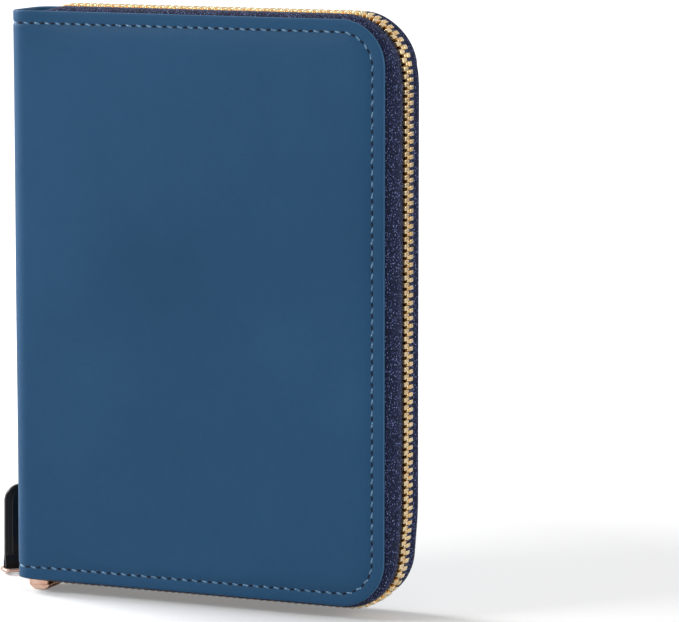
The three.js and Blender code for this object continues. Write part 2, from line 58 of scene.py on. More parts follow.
QUARTER = math.pi / 2

Socket = bpy.types.NodeSocket
Material = bpy.types.Material
Piece = bpy.types.Object
Point = tuple[float, float, float]
Pair = tuple[float, float]
Knot = tuple[float, float, float, float, float]
Face = tuple[int, ...]
Colour = tuple[float, ...]
Value = Socket | float | Colour


class Side(Enum):
    """The two halves of the closed wallet, by the sign of their Y direction."""

    FRONT = -1
    BACK = 1

    @property
    def label(self) -> str:
        """The word that names of pieces start with."""
        return self.name.lower()


def srgb(*screen: int) -> Colour:
    """Turns a screen colour into the linear colour that a shader takes.

    Args:
        screen: red, green and blue from 0 to 255.

    Returns:
        The linear colour with full alpha.
    """
    shares = [value / 255 for value in screen]
    return (*(c / 12.92 if c <= 0.04045 else ((c + 0.055) / 1.055) ** 2.4 for c in shares), 1.0)


class NodeBoard:
    """A node tree with short calls for the nodes that the finishes share."""

    def __init__(self, tree: bpy.types.NodeTree) -> None:
        """Works on a tree that is there already."""
        self.tree = tree

    def put(self, target: Socket, value: Value) -> None:
        """Feeds a socket from another one, or sets it to a plain value."""
        if isinstance(value, Socket):
            self.tree.links.new(value, target)
        else:
            target.default_value = value

    def fill(self, node: bpy.types.Node, **inputs: Value) -> None:
        """Fills a node's inputs, named with underscores for spaces."""
        for name, value in inputs.items():
            self.put(node.inputs[name.replace("_", " ")], value)

    def add(self, kind: str, out: str, **inputs: Value) -> Socket:
        """Adds a node.

        Args:
            kind: Blender's name for the kind of node.
            out: the output that is wanted.
            inputs: what its inputs are fed from or set to.

        Returns:
            The output's socket.
        """
        node = self.tree.nodes.new(kind)
        self.fill(node, **inputs)
        return node.outputs[out]

    def math(self, kind: str, *values: Value) -> Socket:
        """Joins values by a named operation."""
        node = self.tree.nodes.new("ShaderNodeMath")
        node.operation = kind
        for target, value in zip(node.inputs, values):
            self.put(target, value)
        return node.outputs["Value"]

    def band(self, value: Socket, low: float, high: float, to: Pair) -> Socket:
        """Maps a value's range to another, with clamped ends."""
        return self.add("ShaderNodeMapRange", "Result", Value=value, From_Min=low, From_Max=high,
                        To_Min=to[0], To_Max=to[1])


class SurfaceBoard(NodeBoard):
    """A new material's node tree, with its principled shader and the object's coordinates."""

    def __init__(self, name: str) -> None:
        """Starts the material."""
        self.material = bpy.data.materials.new(name)
        self.material.use_nodes = True
        super().__init__(self.material.node_tree)
        self.shader = self.tree.nodes["Principled BSDF"]
        self.coords = self.add("ShaderNodeTexCoord", "Object")

    def stretched(self, scale: Point, turn: float = 0.0) -> Socket:
        """Gives the object's coordinates scaled and turned.

        Args:
            scale: repeats per metre along each axis.
            turn: turn about Z in degrees.

        Returns:
            The vector socket.
        """
        return self.add("ShaderNodeMapping", "Vector", Vector=self.coords, Scale=scale,
                        Rotation=(0, 0, math.radians(turn)))

    def noise(self, scale: float, detail: float = 3.0, rough: float = 0.5) -> Socket:
        """Gives a noise value at a scale in repeats per metre."""
        return self.add("ShaderNodeTexNoise", "Fac", Vector=self.coords, Scale=scale,
                        Detail=detail, Roughness=rough)

    def cells(self, vector: Socket, out: str = "Distance") -> Socket:
        """Gives the distance or colour of a cell pattern on a scaled vector."""
        return self.add("ShaderNodeTexVoronoi", out, Vector=vector, Scale=1.0)

    def ramp(self, value: Socket, *stops: tuple[float, Colour]) -> Socket:
        """Maps a value to colours.

        Args:
            value: the value from 0 to 1.
            stops: places and colours.

        Returns:
            The colour socket.
        """
        colour = self.add("ShaderNodeValToRGB", "Color", Fac=value)
        elements = colour.node.color_ramp.elements
        while len(elements) < len(stops):
            elements.new(0.5)
        for element, (place, shade) in zip(elements, stops):
            element.position, element.color = place, shade
        return colour

    def bump(self, height: Socket, depth: float, strength: float = 1.0,
             under: Socket | None = None) -> Socket:
        """Makes a bump of a real depth.

        Args:
            height: height from 0 to 1.
            depth: full depth in metres.
            strength: how much of it shows.
            under: a bump that this one lies on.

        Returns:
            The normal socket.
        """
        normal = self.add("ShaderNodeBump", "Normal", Height=height, Distance=depth,
                          Strength=strength)
        if under is not None:
            self.put(normal.node.inputs["Normal"], under)
        return normal

    def surface(self, **inputs: Value) -> Material:
        """Fills the shader's inputs and gives the finished material."""
        self.fill(self.shader, **inputs)
        return self.material


@dataclass(frozen=True)
class Finish:
    """What every finish has: a name, a darker and a lighter colour."""

    name: str
    dark: Colour
    light: Colour


@dataclass(frozen=True)
class LeatherFinish(Finish):
    """Dyed leather with a fine pebbled grain, pores and slow changes of tone."""

    roughness: Pair = (0.5, 0.62)
    patches_per_metre: float = 16.0
    mottle_per_metre: float = 900.0
    mottle_share: float = 0.14
    wrinkles_per_metre: float = 420.0
    wrinkle_depth: float = 0.06 * MM
    grain_per_metre: float = 1700.0
    grain_depth: float = 0.05 * MM
    coat: float = 0.0

    def material(self) -> Material:
        """Builds the leather's material."""
        board = SurfaceBoard(self.name)
        mottle = board.math("MULTIPLY", board.noise(self.mottle_per_metre, 2.0), self.mottle_share)
        tone = board.math("ADD", board.noise(self.patches_per_metre), mottle)
        cells = board.cells(board.stretched((self.grain_per_metre,) * 3))
        wrinkles = board.noise(self.wrinkles_per_metre, 4.0, 0.6)
        coarse = board.bump(wrinkles, self.wrinkle_depth, 0.35)
        return board.surface(
            Base_Color=board.ramp(tone, (0.38, self.dark), (0.78, self.light)),
            Roughness=board.band(wrinkles, 0.35, 0.65, self.roughness),
            Normal=board.bump(cells, self.grain_depth, 0.5, coarse),
            Sheen_Weight=0.04, Sheen_Roughness=0.4,
            Coat_Weight=self.coat, Coat_Roughness=0.2, Specular_IOR_Level=0.2,
        )


@dataclass(frozen=True)
class WovenFinish(Finish):
    """Close woven tape or lining: slanted rows of thread, their raised crossings painted lighter up to
    pale glints and their gaps darker, as painted highlight and shade.
    """

    painted_glint: Colour
    rows_per_metre: float = 2700.0
    row_share: float = 0.62
    slant: float = 35.0
    depth: float = 0.12 * MM

    def material(self) -> Material:
        """Builds the cloth's material."""
        board = SurfaceBoard(self.name)
        rows = self.rows_per_metre
        weave = board.stretched((rows, rows, rows * self.row_share), self.slant)
        pick = board.cells(weave, "Color")
        # Colour follows the weave's height: raised crossings painted lighter up to the glint colour as
        # painted highlight, gaps darker as painted shade, with a random tone per crossing
        raised = board.band(board.cells(weave), 0.05, 0.6, (1.0, 0.0))
        tone = board.math("MULTIPLY", raised, board.band(pick, 0.0, 1.0, (0.4, 1.0)))
        return board.surface(
            Base_Color=board.ramp(tone, (0.16, self.dark), (0.42, self.light), (0.8, self.painted_glint)),
            Roughness=board.band(pick, 0.0, 1.0, (0.6, 0.9)),
            Normal=board.bump(raised, self.depth, 0.8),
            Sheen_Weight=0.06, Sheen_Roughness=0.5, Specular_IOR_Level=0.3,
        )


@dataclass(frozen=True)
class MetalFinish(Finish):
    """Plated and polished metal with faint marks of handling."""

    roughness: Pair = (0.16, 0.3)
    clouds_per_metre: float = 380.0
    marks_per_metre: float = 900.0
    mark_depth: float = 0.01 * MM

    def material(self) -> Material:
        """Builds the metal's material."""
        board = SurfaceBoard(self.name)
        clouds = board.noise(self.clouds_per_metre)
        marks = board.noise(self.marks_per_metre, 4.0, 0.7)
        return board.surface(
            Base_Color=board.ramp(clouds, (0.3, self.dark), (0.62, self.light)),
            Roughness=board.band(marks, 0.3, 0.7, self.roughness),
            Normal=board.bump(marks, self.mark_depth, 0.3),
            Metallic=1.0,
        )


@dataclass(frozen=True)
class ThreadFinish(Finish):
    """Twisted sewing thread with a soft shine, the middle of each strand painted pale as a painted
    highlight.
    """

    twists_per_metre: float = 2600.0
    twist: float = 30.0
    depth: float = 0.05 * MM

    def material(self) -> Material:
        """Builds the thread's material."""
        board = SurfaceBoard(self.name)
        strands = board.cells(board.stretched((self.twists_per_metre,) * 3, self.twist))
        return board.surface(
            # Strand middles take the pale colour as a painted highlight, their sides the thread's own
            # blue
            Base_Color=board.ramp(strands, (0.1, self.light), (0.7, self.dark)),
            Normal=board.bump(strands, self.depth, 0.5),
            Roughness=0.42, Sheen_Weight=0.3, Sheen_Roughness=0.4,
        )


@dataclass(frozen=True)
class FibreFinish(Finish):
    """Pressed grey board, soft white foam, or the painted shade in the needle holes: a dull ground with
    fibres or pores.
    """

    grains_per_metre: float = 1500.0
    depth: float = 0.08 * MM

    def material(self) -> Material:
        """Builds the board's, the foam's or the painted needle shade's material."""
        board = SurfaceBoard(self.name)
        pores = board.noise(self.grains_per_metre, 5.0, 0.7)
        return board.surface(
            Base_Color=board.ramp(pores, (0.3, self.dark), (0.7, self.light)),
            Normal=board.bump(pores, self.depth, 0.6),
            Roughness=0.92,
        )


class Look(Enum):
    """Every finish of the wallet."""

    COVER = LeatherFinish("blue_leather", srgb(31, 74, 110), srgb(39, 84, 122))
    POCKET = LeatherFinish("pocket_leather", srgb(28, 66, 98), srgb(38, 80, 114))
    # Painted highlight: a paler copy of the cover leather for its rounded cut edge, where light catches
    # it
    EDGE = LeatherFinish("edge_painted_highlight", srgb(48, 92, 130), srgb(62, 108, 146), (0.4, 0.5))
    STRAP = LeatherFinish("black_leather", srgb(5, 5, 7), srgb(15, 15, 18), (0.28, 0.38),
                          grain_depth=0.03 * MM, coat=0.35)
    # The third colour of each weave is a painted glint
    TAPE = WovenFinish("navy_weave", srgb(14, 22, 52), srgb(56, 70, 120), srgb(168, 182, 220))
    LINING = WovenFinish("lining_weave", srgb(24, 34, 56), srgb(36, 50, 78), srgb(52, 66, 96),
                         rows_per_metre=3000.0)
    # The paler thread colour is a painted highlight on the strands
    THREAD = ThreadFinish("blue_thread", srgb(70, 112, 150), srgb(150, 190, 216))
    # Painted shade: a near-black finish for the grains laid in the needle holes
    HOLE = FibreFinish("needle_shadow", srgb(3, 8, 22), srgb(8, 18, 38))
    GOLD = MetalFinish("gold_plate", srgb(232, 196, 138), srgb(250, 226, 180))
    ROSE = MetalFinish("rose_gold_plate", srgb(222, 174, 150), srgb(240, 204, 184))
    BOARD = FibreFinish("grey_board", srgb(128, 122, 112), srgb(158, 152, 142))
    FOAM = FibreFinish("white_foam", srgb(218, 216, 208), srgb(238, 236, 230))

    @cached_property
    def material(self) -> Material:
        """The finish's material, made at its first use."""
        return self.value.material()


def signed_volume(mesh: bpy.types.Mesh) -> float:
    """Sums the volume under a mesh's faces, which is negative when they face inward."""
    mesh.calc_loop_triangles()
    points = np.zeros(len(mesh.vertices) * 3)
    mesh.vertices.foreach_get("co", points)
    corners = np.zeros(len(mesh.loop_triangles) * 3, int)
    mesh.loop_triangles.foreach_get("vertices", corners)
    a, b, c = points.reshape(-1, 3)[corners.reshape(-1, 3)].transpose(1, 0, 2)
    return float(np.einsum("ij,ij->", a, np.cross(b, c)))


def mesh_piece(name: str, points: list[Point], faces: list[Face], material: Material,
               smooth: bool = True) -> Piece:
    """Makes a mesh object from points and faces, with its faces turned outward.

    Args:
        name: the piece's name.
        points: vertices in metres, in the wallet's frame.
        faces: vertex indices of each face.
        material: the piece's finish.
        smooth: whether its faces are shaded smooth.

    Returns:
        The new object, linked to the scene.
    """
    mesh = bpy.data.meshes.new(name)
    mesh.from_pydata([tuple(map(float, p)) for p in points], [], faces)
    mesh.validate()
    mesh.polygons.foreach_set("use_smooth", [smooth] * len(mesh.polygons))
    mesh.materials.append(material)
    if signed_volume(mesh) < 0:
        mesh.flip_normals()
    mesh.update()
    piece = bpy.data.objects.new(name, mesh)
    bpy.context.scene.collection.objects.link(piece)
    return piece


def finish_piece(piece: Piece, body: str, slot: str, *nodes: str) -> Piece:
    """Rides a piece on its body and hides the nodes that it stands for.

    Args:
        piece: the finished piece.
        body: the body that carries it.
        slot: the record's material slot; not used.
        nodes: the nodes that it replaces.

    Returns:
        The piece.
    """
    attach(piece, body)
    if nodes:
        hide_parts(*nodes)
    LOG.info("%s: %d faces on %s", piece.name, len(piece.data.polygons), body)
    return piece


def joined(name: str, pieces: list[Piece]) -> Piece:
    """Joins pieces, whose modifiers are applied, into one object of the given name."""
    with bpy.context.temp_override(
        active_object=pieces[0], selected_editable_objects=pieces, selected_objects=pieces
    ):
        bpy.ops.object.join()
    pieces[0].name = name
    pieces[0].data.name = name
    return pieces[0]


def softened(piece: Piece, width: float, segments: int = 3, angle: float = 35.0) -> Piece:
    """Rounds a piece's sharp edges and turns the result into plain mesh.

    Args:
        piece: the piece to round.
        width: width of the rounding.
        segments: faces across it.
        angle: smallest edge angle that is rounded, in degrees.

    Returns:
        The piece.
    """
    bevel = piece.modifiers.new("round", "BEVEL")
    bevel.width = width
    bevel.segments = segments
    bevel.limit_method = "ANGLE"
    bevel.angle_limit = math.radians(angle)
    piece.modifiers.new("even", "WEIGHTED_NORMAL")
    depsgraph = bpy.context.evaluated_depsgraph_get()
    made = bpy.data.meshes.new_from_object(piece.evaluated_get(depsgraph))
    piece.modifiers.clear()
    old, piece.data = piece.data, made
    bpy.data.meshes.remove(old)
    return piece


def arc(radius: float, start: float, end: float, count: int, middle: Pair = (0.0, 0.0)) -> list[Pair]:
    """Gives points on an arc, with both ends.

    Args:
        radius: the arc's radius.
        start: angle of its first point, in radians.
        end: angle of its last point.
        count: number of points.
        middle: the arc's centre.

    Returns:
        The points.
    """
    angles = np.linspace(start, end, count)
    return [(middle[0] + radius * math.cos(a), middle[1] + radius * math.sin(a)) for a in angles]


def circle(radius: float, count: int, middle: Pair = (0.0, 0.0)) -> list[Pair]:
    """Gives points on a whole circle, each once."""
    return arc(radius, 0, 2 * math.pi, count + 1, middle)[:-1]


def rounded_outline(low: Pair, high: Pair, corner: float, steps: int = 6) -> list[Pair]:
    """Outline of a rectangle with round corners."""
    left, right = low[0] + corner, high[0] - corner
    bottom, top = low[1] + corner, high[1] - corner
    found = []
    for turn, middle in enumerate(((right, bottom), (right, top), (left, top), (left, bottom))):
        start = (turn - 1) * QUARTER
        found += arc(corner, start, start + QUARTER, steps + 1, middle)
    return found


def ring_faces(rings: int, count: int, start: int = 0, closed: bool = False) -> list[Face]:
    """Joins rings of points that follow each other by four-cornered faces.

    Args:
        rings: number of rings.
        count: points in a ring.
        start: index of the first point.
        closed: whether the last ring joins the first one.

    Returns:
        The faces.
    """
    faces = []
    for r in range(rings if closed else rings - 1):
        near, far = start + r * count, start + (r + 1) % rings * count
        for k in range(count):
            after = (k + 1) % count
            faces.append((near + k, near + after, far + after, far + k))
    return faces


def solid_faces(rings: int, count: int, start: int = 0) -> list[Face]:
    """Joins rings as ring_faces does and closes both ends."""
    last = start + (rings - 1) * count
    ends = [tuple(range(start + count - 1, start - 1, -1)), tuple(range(last, last + count))]
    return ring_faces(rings, count, start) + ends


def prism(name: str, outline: list[Pair], low: float, high: float, look: Look,
          place: Matrix) -> Piece:
    """Extrudes a flat outline along Z and places the result.

    Args:
        name: the piece's name.
        outline: points of the outline.
        low: its lower end.
        high: its upper end.
        look: its finish.
        place: where the extrusion's own frame lies.

    Returns:
        The piece.
    """
    points = [place @ Vector((x, y, z)) for z in (low, high) for x, y in outline]
    return mesh_piece(name, points, solid_faces(2, len(outline)), look.material)


def upright(place: Matrix) -> Matrix:
    """Turns a frame so that its Z runs against the old Y and its Y along the old Z."""
    return place @ Matrix.Rotation(QUARTER, 4, "X")


def eased(share: float) -> float:
    """Rises softly from 0 to 1 as the share does, and stays there beyond."""
    share = min(1.0, max(0.0, share))
    return share * share * (3 - 2 * share)


COVER_LOW, COVER_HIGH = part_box("outer_cover")


@dataclass(frozen=True)
class CaseForm:
    """The closed wallet's outer form, with its sizes taken from the frame."""

    width: float = COVER_HIGH.x - COVER_LOW.x
    height: float = COVER_HIGH.z - COVER_LOW.z
    thickness: float = COVER_HIGH.y - COVER_LOW.y
    corner: float = 12 * MM
    fold: float = 5 * MM
    leather: float = 1.1 * MM
    puff: float = 0.7 * MM
    chain_middle: float = 0.7 * MM
    zip_start: float = 5.5 * MM
    dip: float = 3.5 * MM
    dip_length: float = 9 * MM
    side_swell: float = 1.2 * MM
    chain_delays: Pair = (0.35, 0.7)
    tape_delays: Pair = (0.25, 0.05)
    top_sink: float = 0.4 * MM
    spine_blend: float = 9 * MM

    def world(self, x: float, y: float, z: float) -> Point:
        """Places a point counted from the spine, the zip's plane and the covers' lower edge."""
        middle = (COVER_LOW.y + COVER_HIGH.y) / 2
        return (COVER_LOW.x + x, middle + y, COVER_LOW.z + z)

    @property
    def sheet_half(self) -> float:
        """Distance from the zip's plane to the leather's inner face at the border."""
        return self.thickness / 2 - self.leather - self.puff

    @property
    def fold_radius(self) -> float:
        """Radius of the leather's inner face where it folds round the spine."""
        return self.fold - self.leather - self.puff

    @property
    def flat(self) -> float:
        """Length of the leather from an open edge to the fold."""
        return self.width - self.fold

    @property
    def sheet_length(self) -> float:
        """Length of the leather from one open edge round the spine to the other."""
        spine = self.thickness - 2 * self.fold
        return 2 * self.flat + math.pi * self.fold_radius + spine

    def sheet_point(self, s: float, z: float, height: float) -> Point:
        """Wraps a point of the flat leather round front, spine and back.

        Args:
            s: distance along the sheet from the front's open edge.
            z: height over the lower edge.
            height: distance outward from the leather's inner face at the border.

        Returns:
            The point in the wallet's frame.
        """
        radius, half = self.fold_radius, self.sheet_half
        side = Side.FRONT if s <= self.sheet_length / 2 else Side.BACK
        along = min(s, self.sheet_length - s)
        turn = (along - self.flat) / radius
        if turn <= 0:
            x, y = self.width - along, half + height
        elif turn <= QUARTER:
            reach = radius + height
            x, y = self.fold - reach * math.sin(turn), half - radius + reach * math.cos(turn)
        else:
            x, y = self.leather + self.puff - height, half - radius - radius * (turn - QUARTER)
        return self.world(x, side.value * y, z)

    def run_legs(self) -> list[float]:
        """Ends of the zip's legs: top, corner, side, corner, bottom."""
        straight = self.width - self.corner - self.zip_start
        turn = QUARTER * (self.corner + self.chain_middle)
        return list(np.cumsum([straight, turn, self.height - 2 * self.corner, turn, straight]))

    def spine_rise(self, s: float) -> float:
        """How far the sewn border comes up to the padded field's level along the spine."""
        past = min(s - self.flat, self.sheet_length - self.flat - s)
        return self.puff * eased(past / self.spine_blend + 1)

    def side_share(self, s: float, delays: Pair) -> float:
        """How much a place on the zip's run belongs to the side.

        Args:
            s: distance along the run.
            delays: how far round the upper and the lower corner the share stays 0, in corners.

        Returns:
            The share from 0 to 1.
        """
        legs = self.run_legs()
        turn = legs[1] - legs[0]
        return eased(min((s - legs[0]) / turn - delays[0], (legs[3] - s) / turn - delays[1]))

    def chain_rise(self, s: float) -> float:
        """How far the chain stands out along the side, or lies in along the top."""
        side = self.side_share(s, self.chain_delays)
        sunk = 0.0 if s > self.run_legs()[1] else (1 - side) * self.top_sink
        return side * self.side_swell - sunk

    def run_point(self, s: float, outward: float, across: float, share: float = 1.0) -> Point:
        """Places a point on the zip's run round the open edges.

        Args:
            s: distance along the run from its upper end.
            outward: height over the covers' edge.
            across: distance from the zip's plane, towards the back.
            share: how much it follows the upper end, which sinks between the covers.

        Returns:
            The point in the wallet's frame.
        """
        out = outward - share * self.dip * (1 - eased(s / self.dip_length))
        legs = self.run_legs()
        right, top = self.width - self.corner, self.height - self.corner
        lower = s > legs[2]
        along = legs[-1] - s if lower else s
        if along <= legs[0]:
            x, z = self.zip_start + along, self.height + out
        elif along <= legs[1]:
            turn = QUARTER * (1 - (along - legs[0]) / (legs[1] - legs[0]))
            reach = self.corner + out
            x, z = right + reach * math.cos(turn), top + reach * math.sin(turn)
        else:
            x, z = self.width + out, top - (along - legs[1])
        return self.world(x, across, self.height - z if lower else z)


@dataclass
class PaddedCover:
    """The one sheet of leather round front, spine and back, padded inside its sewn border."""

    form: CaseForm
    step: float = 1.5 * MM
    arc_steps: int = 16
    fold_steps: int = 12
    spine_steps: int = 8
    # Rings in from the cut edge whose faces take the paler leather, a painted highlight
    edge_rings: int = 4
    ripple: float = 0.07 * MM
    # Radians per metre of the leather's slow waves, and how they lean on each other
    waves: tuple[float, ...] = (71.0, 43.0, 57.0, 29.0)
    # Where the waves start and the breadth over which they come up, in millimetres from the edge
    calm_border: Pair = (4.0, 4.8)
    # Distance in from the cut edge and height over the inner face, in millimetres
    outer_profile: tuple[Pair, ...] = (
        (0.35, 0.0), (0.08, 0.1), (0.0, 0.32), (0.0, 0.78), (0.1, 1.0), (0.34, 1.12),
        (0.9, 1.15), (1.8, 1.13), (2.45, 1.08), (2.85, 0.98), (3.2, 0.87), (3.55, 0.97),
        (3.95, 1.12), (4.5, 1.3), (5.2, 1.48), (6.2, 1.63), (7.4, 1.73), (8.8, 1.8),
    )
    inner_profile: tuple[Pair, ...] = ((0.35, 0.0), (5.0, 0.0), (8.8, 0.7))

    def columns(self) -> list[float]:
        """Places of the mesh's columns along the sheet, between the corner arcs."""
        form = self.form
        bend = QUARTER * form.fold_radius
        count = round((form.flat - form.corner) / self.step)
        length = form.sheet_length
        ends = (form.corner, form.flat, form.flat + bend, length - form.flat - bend,
                length - form.flat, length - form.corner)
        counts = (count, self.fold_steps, self.spine_steps, self.fold_steps, count)
        found = []
        for low, high, steps in zip(ends, ends[1:], counts):
            found += np.linspace(low, high, steps, endpoint=False).tolist()
        return [*found, ends[-1]]

    def flat_ring(self, inset: float) -> tuple[list[Pair], int, int]:
        """Lays out one ring of the flat sheet.

        Args:
            inset: distance in from the cut edge.

        Returns:
            The ring's points, the count along its top and the count down its side.
        """
        form = self.form
        length, height, corner = form.sheet_length, form.height, form.corner
        middle = (corner, height - corner)
        corner_arc = arc(corner - inset, math.pi, QUARTER, self.arc_steps + 1, middle)[:-1]
        top = corner_arc + [(s, height - inset) for s in self.columns()]
        top += [(length - s, z) for s, z in reversed(corner_arc)]
        rows = round((height - 2 * corner) / self.step)
        side = [corner + (height - 2 * corner) * i / rows for i in range(rows - 1, 0, -1)]
        right = [(length - inset, z) for z in side]
        bottom = [(s, height - z) for s, z in reversed(top)]
        left = [(inset, z) for z in reversed(side)]
        return top + right + bottom + left, len(top), len(side)

    def undulation(self, s: float, z: float) -> float:
        """A slow, soft rise and fall of the padded leather."""
        a, b, c, d = self.waves
        return 0.5 * self.ripple * (math.sin(s * a + 2.0 * math.sin(z * b)) + math.sin(z * c + s * d))

    def face(self, profile: tuple[Pair, ...]) -> tuple[list[Point], list[Face], int]:
        """Builds one face of the sheet: rings from the edge inward, then the field.

        Args:
            profile: inset and height of each ring, in millimetres.

        Returns:
            Points, faces and the number of points in a ring.
        """
        form = self.form
        level = profile[-1][1] * MM
        points: list[Point] = []
        for inset, height in profile:
            ring, top, side = self.flat_ring(inset * MM)
            border = 1 - max(0.0, height * MM - level + form.puff) / form.puff
            waved = min(1.0, max(0.0, (inset - self.calm_border[0]) / self.calm_border[1]))
            for s, z in ring:
                lift = height * MM + form.spine_rise(s) * border + waved * self.undulation(s, z)
                points.append(form.sheet_point(s, z, lift))
        count = len(ring)
        faces = ring_faces(len(profile), count)
        start = (len(profile) - 1) * count
        columns = self.field_columns(ring, top, side, start, points, level)
        for near, far in zip(columns, columns[1:]):
            faces += [(near[row], far[row], far[row + 1], near[row + 1]) for row in range(side + 1)]
        return points, faces, count

    def field_columns(self, ring: list[Pair], top: int, side: int, start: int,
                      points: list[Point], level: float) -> list[list[int]]:
        """Adds the field's inner points and lists each column's indices from top to bottom.

        Args:
            ring: the innermost ring on the flat sheet.
            top: its count along the top.
            side: its count down a side.
            start: index of its first point.
            points: the face's points, which the inner ones join.
            level: the field's height over the inner face.

        Returns:
            The columns, from the front's open edge to the back's.
        """
        low_end = 2 * top + side - 1
        columns = [[start, *(start + len(ring) - 1 - i for i in range(side)), start + low_end]]
        for i in range(1, top - 1):
            (s, high), low = ring[i], ring[low_end - i][1]
            first = len(points)
            for row in range(1, side + 1):
                z = high + (low - high) * row / (side + 1)
                points.append(self.form.sheet_point(s, z, level + self.undulation(s, z)))
            columns.append([start + i, *range(first, first + side), start + low_end - i])
        return [*columns, list(range(start + top - 1, start + top + side + 1))]

    def build(self) -> None:
        """Builds the cover and puts it in place of its plain solid."""
        outer, faces, count = self.face(self.outer_profile)
        inner, inner_faces, _ = self.face(self.inner_profile)
        shift = len(outer)
        faces += [tuple(shift + i for i in reversed(face)) for face in inner_faces]
        for k in range(count):
            after = (k + 1) % count
            faces.append((k, shift + k, shift + after, after))
        piece = mesh_piece("leather_cover", outer + inner, faces, Look.COVER.material)
        # The rounded edge's faces take the paler leather as a painted highlight
        piece.data.materials.append(Look.EDGE.material)
        for polygon in piece.data.polygons[: self.edge_rings * count]:
            polygon.material_index = 1
        finish_piece(piece, "case", "blue_leather", "outer_cover")


@dataclass
class CoverSeam:
    """The row of slanted stitches round the covers, with dark grains between them as painted shade in
    the needle holes.
    """

    form: CaseForm
    inset: float = 3.2 * MM
    pitch: float = 2.92 * MM
    # Length, width and height of a stitch and of a needle hole's shadow
    stitch: Point = (1.75 * MM, 0.5 * MM, 0.26 * MM)
    hole: Point = (1.3 * MM, 0.56 * MM, 0.05 * MM)
    ground: float = 0.93 * MM
    hole_lift: float = 0.03 * MM
    slant: float = 16.0
    hole_slant: float = -6.4
    uneven: float = 0.05
    fullness: float = 2.6
    end_sink: float = 0.12 * MM
    rings: int = 7
    sides: int = 8
    seed: int = 7

    def outline_point(self, t: float) -> tuple[Pair, Pair]:
        """Finds a point of the seam line on the flat sheet and the line's direction there.

        Args:
            t: distance along the seam from the top's first corner.

        Returns:
            The point and the unit direction.
        """
        form = self.form
        radius = form.corner - self.inset
        across, down = form.sheet_length - 2 * form.corner, form.height - 2 * form.corner
        s, z, heading = form.corner, form.height - self.inset, 0.0
        for reach in (across, down, across, down):
            way = (math.cos(heading), math.sin(heading))
            if t <= reach:
                return (s + way[0] * t, z + way[1] * t), way
            t -= reach
            middle = (s + way[0] * reach + radius * way[1], z + way[1] * reach - radius * way[0])
            heading -= min(t / radius, QUARTER)
            way = (math.cos(heading), math.sin(heading))
            s, z = middle[0] - radius * way[1], middle[1] + radius * way[0]
            if t <= QUARTER * radius:
                return (s, z), way
            t -= QUARTER * radius
        return self.outline_point(t)

    def perimeter(self) -> float:
        """Length of the whole seam line."""
        straight = self.form.sheet_length + self.form.height - 4 * self.form.corner
        return 2 * straight + 2 * math.pi * (self.form.corner - self.inset)

    def grains(self, name: str, look: Look, offset: float, size: Point, slant: float,
               ground: float) -> Piece:
        """Lays one long grain per stitch along the seam.

        Args:
            name: the piece's name.
            look: its finish.
            offset: share of a pitch that the first grain starts at.
            size: length, width and height of a grain.
            slant: turn of a grain against the line, in degrees.
            ground: height of the grain's middle over the leather's inner face.

        Returns:
            The piece that all grains make.
        """
        count = round(self.perimeter() / self.pitch)
        half_long, half_wide, high = size[0] / 2, size[1] / 2, size[2]
        draw = random.Random(self.seed)
        points: list[Point] = []
        faces: list[Face] = []
        for i in range(count):
            (s, z), way = self.outline_point((i + offset) * self.perimeter() / count)
            tilt = math.radians(slant) + draw.uniform(-self.uneven, self.uneven)
            along_s = way[0] * math.cos(tilt) - way[1] * math.sin(tilt)
            along_z = way[0] * math.sin(tilt) + way[1] * math.cos(tilt)
            faces += solid_faces(self.rings, self.sides, len(points))
            level = ground + self.form.spine_rise(s)
            for r in range(self.rings):
                share = -1 + 2 * (r + 0.5) / self.rings
                swell = math.sqrt(max(0.0, 1 - abs(share) ** self.fullness))
                sink = self.end_sink * abs(share) ** 3
                long = half_long * share
                for across, up in circle(swell, self.sides):
                    wide, lift = half_wide * across, level + high * up - sink
                    at = (s + along_s * long - along_z * wide, z + along_z * long + along_s * wide)
                    points.append(self.form.sheet_point(*at, lift))
        return mesh_piece(name, points, faces, look.material)

    def build(self) -> None:
        """Builds the stitches and the dark grains painted as shade in the needle holes."""
        ground = self.ground
        stitches = self.grains("seam_stitches", Look.THREAD, 0.25, self.stitch, self.slant, ground)
        finish_piece(stitches, "case", "seam_thread", "seam_thread")
        # The needle holes' shade is painted: dark grains laid between the stitches
        lifted = ground + self.hole_lift
        holes = self.grains("needle_hole_shadows", Look.HOLE, 0.75, self.hole, self.hole_slant, lifted)
        finish_piece(holes, "case", "seam_thread")


